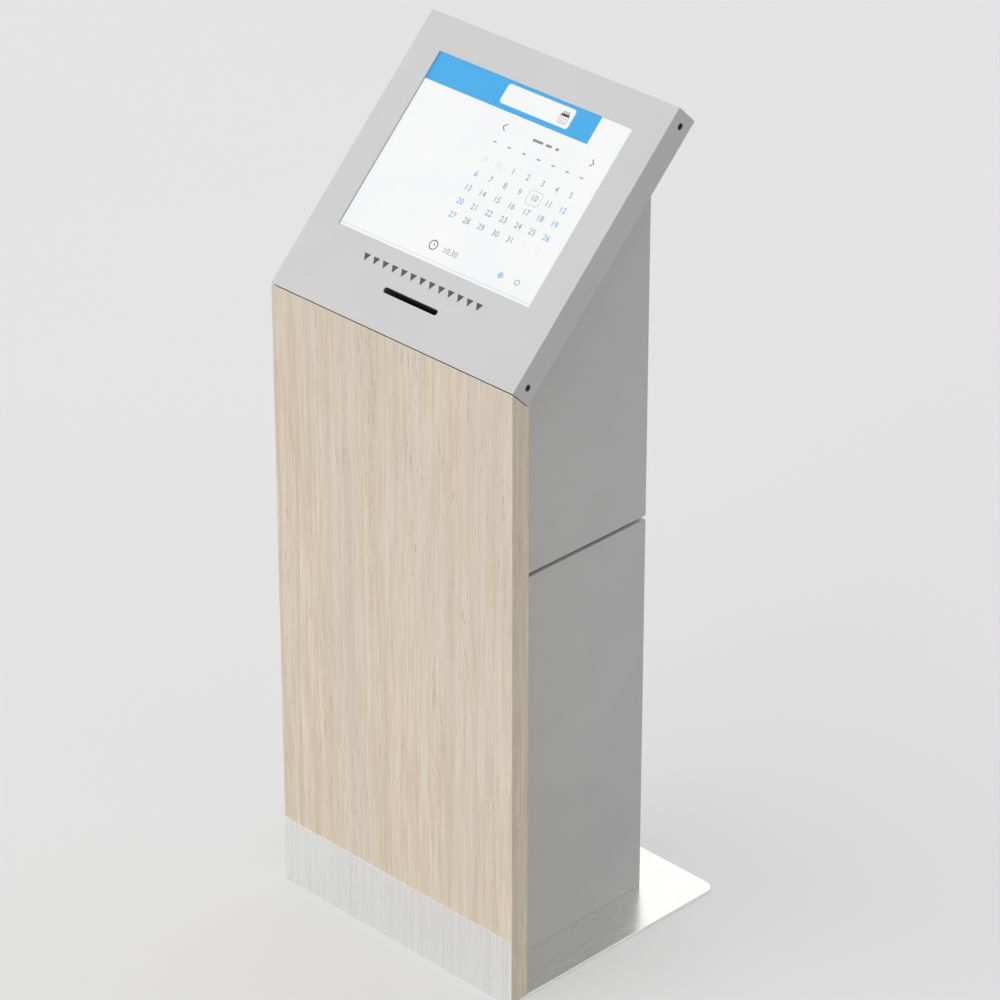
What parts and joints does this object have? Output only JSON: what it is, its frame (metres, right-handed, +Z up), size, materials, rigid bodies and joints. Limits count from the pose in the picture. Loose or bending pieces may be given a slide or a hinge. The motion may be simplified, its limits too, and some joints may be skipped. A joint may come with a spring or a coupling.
{
  "type": "queue ticket kiosk",
  "caption": "Floor-standing queue ticket kiosk: grey steel cabinet with a tilted touch display and ticket slot, oak front board, brushed steel foot plate and a lockable rear service door.",
  "frame": {"origin": "on the floor, under the middle of the kiosk's footprint", "axes": "+X to the right seen from the front, the front faces -Y, +Z up"},
  "size_m": [0.39, 0.3536, 1.0722],
  "materials": {
    "fascia_paint": "fine matt powder coat, light grey",
    "cabinet_paint": "fine matt powder coat, grey",
    "oak": "oiled pale oak, upright grain",
    "brushed_plate": "brushed stainless steel",
    "zinc_steel": "zinc plated",
    "black_steel": "black oxide",
    "bright_steel": "polished steel",
    "touch_surface": "clear glass, semi-gloss",
    "display_surface": "lit display",
    "black_plastic": "moulded",
    "gear_plastic": "moulded acetal",
    "rubber": "black rubber",
    "aluminium_parts": "plain and anodised",
    "paper": "thermal paper",
    "cardboard": "card tube",
    "circuit": "circuit board"
  },
  "bodies": {
    "kiosk": {"head_tray": "fascia_paint", "lower_cabinet": "cabinet_paint", "upper_cabinet": "cabinet_paint", "front_board": "oak", "foot_plate": "brushed_plate", "kick_plate": "brushed_plate", "front_rail_left": "zinc_steel", "front_rail_right": "zinc_steel", "slope_rail_left": "zinc_steel", "slope_rail_right": "zinc_steel", "panel_rail_left": "zinc_steel", "panel_rail_right": "zinc_steel", "printer_plate": "zinc_steel", "printer_frame": "zinc_steel", "hinge_bracket_upper": "zinc_steel", "hinge_bracket_lower": "zinc_steel", "lock_strike": "zinc_steel", "ledge_bolts": "zinc_steel", "wood_screws": "zinc_steel", "equipment_shelf": "zinc_steel", "fan_nuts": "zinc_steel", "cabinet_bolts": "black_steel", "tray_screws": "black_steel", "upper_cross_bar": "black_steel", "lower_cross_bar": "black_steel", "joint_spacer": "black_steel", "idler_pin": "bright_steel", "roll_spindle": "bright_steel", "fixed_blade": "bright_steel", "touch_glass": "touch_surface", "display_panel": "display_surface", "ticket_chute": "black_plastic", "cutter_housing": "black_plastic", "fan_frame": "black_plastic", "stepper_motor": "black_plastic", "terminal_box": "black_plastic", "platen_bushes": "gear_plastic", "cable_grommet": "rubber", "controller_box": "aluminium_parts", "power_supply": "aluminium_parts", "driver_board": "circuit", "board_spacers": "circuit"},
    "door": {"access_door": "cabinet_paint", "hinge_pins": "bright_steel", "lock_body": "bright_steel", "lock_nut": "bright_steel"},
    "lock": {"lock_plug": "bright_steel", "lock_cam": "bright_steel", "cam_screw": "bright_steel"},
    "fan": {"fan_rotor": "black_plastic"},
    "roll": {"paper_roll": "paper", "roll_core": "cardboard"},
    "platen": {"platen_roller": "rubber", "platen_gear": "gear_plastic"},
    "idler": {"idler_gear": "gear_plastic"},
    "pinion": {"motor_pinion": "gear_plastic"},
    "head": {"print_head": "aluminium_parts", "head_pin": "bright_steel", "head_lever": "black_plastic"},
    "cutter": {"moving_blade": "bright_steel"}
  },
  "joints": [
    {"name": "door_hinge", "type": "hinge", "parent": "kiosk", "child": "door", "pos_m": [-0.081, 0.10705, 0.6995], "axis": [0, 0, 1], "range_deg": [0, 110]},
    {"name": "lock_turn", "type": "hinge", "parent": "door", "child": "lock", "pos_m": [0.058, 0.10305, 0.704], "axis": [0, -1, 0], "range_deg": [0, 90]},
    {"name": "fan_spin", "type": "hinge", "parent": "kiosk", "child": "fan", "pos_m": [0, 0.09855, 0.9405], "axis": [0, 1, 0], "continuous": true},
    {"name": "roll_spin", "type": "hinge", "parent": "kiosk", "child": "roll", "pos_m": [0, -0.00554, 0.72715], "axis": [1, 0, 0], "continuous": true},
    {"name": "platen_spin", "type": "hinge", "parent": "kiosk", "child": "platen", "pos_m": [0, -0.07307, 0.7869], "axis": [1, 0, 0], "continuous": true},
    {"name": "idler_spin", "type": "hinge", "parent": "kiosk", "child": "idler", "pos_m": [0, -0.06388, 0.80466], "axis": [1, 0, 0], "continuous": true},
    {"name": "pinion_spin", "type": "hinge", "parent": "kiosk", "child": "pinion", "pos_m": [0, -0.04797, 0.80634], "axis": [1, 0, 0], "continuous": true},
    {"name": "head_release", "type": "hinge", "parent": "kiosk", "child": "head", "pos_m": [0, -0.06823, 0.76629], "axis": [1, 0, 0], "range_deg": [0, 20], "stiffness_Nm_per_rad": 0.06, "springref_deg": -22.92},
    {"name": "cutter_slide", "type": "slide", "parent": "kiosk", "child": "cutter", "axis": [0, -0.7071, -0.7071], "range_m": [0, 0.008]}
  ],
  "couplings": [
    {"joint": "platen_spin", "follows": "roll_spin", "ratio": 5.3333},
    {"joint": "idler_spin", "follows": "roll_spin", "ratio": -5.3333},
    {"joint": "pinion_spin", "follows": "roll_spin", "ratio": 8.8889}
  ]
}
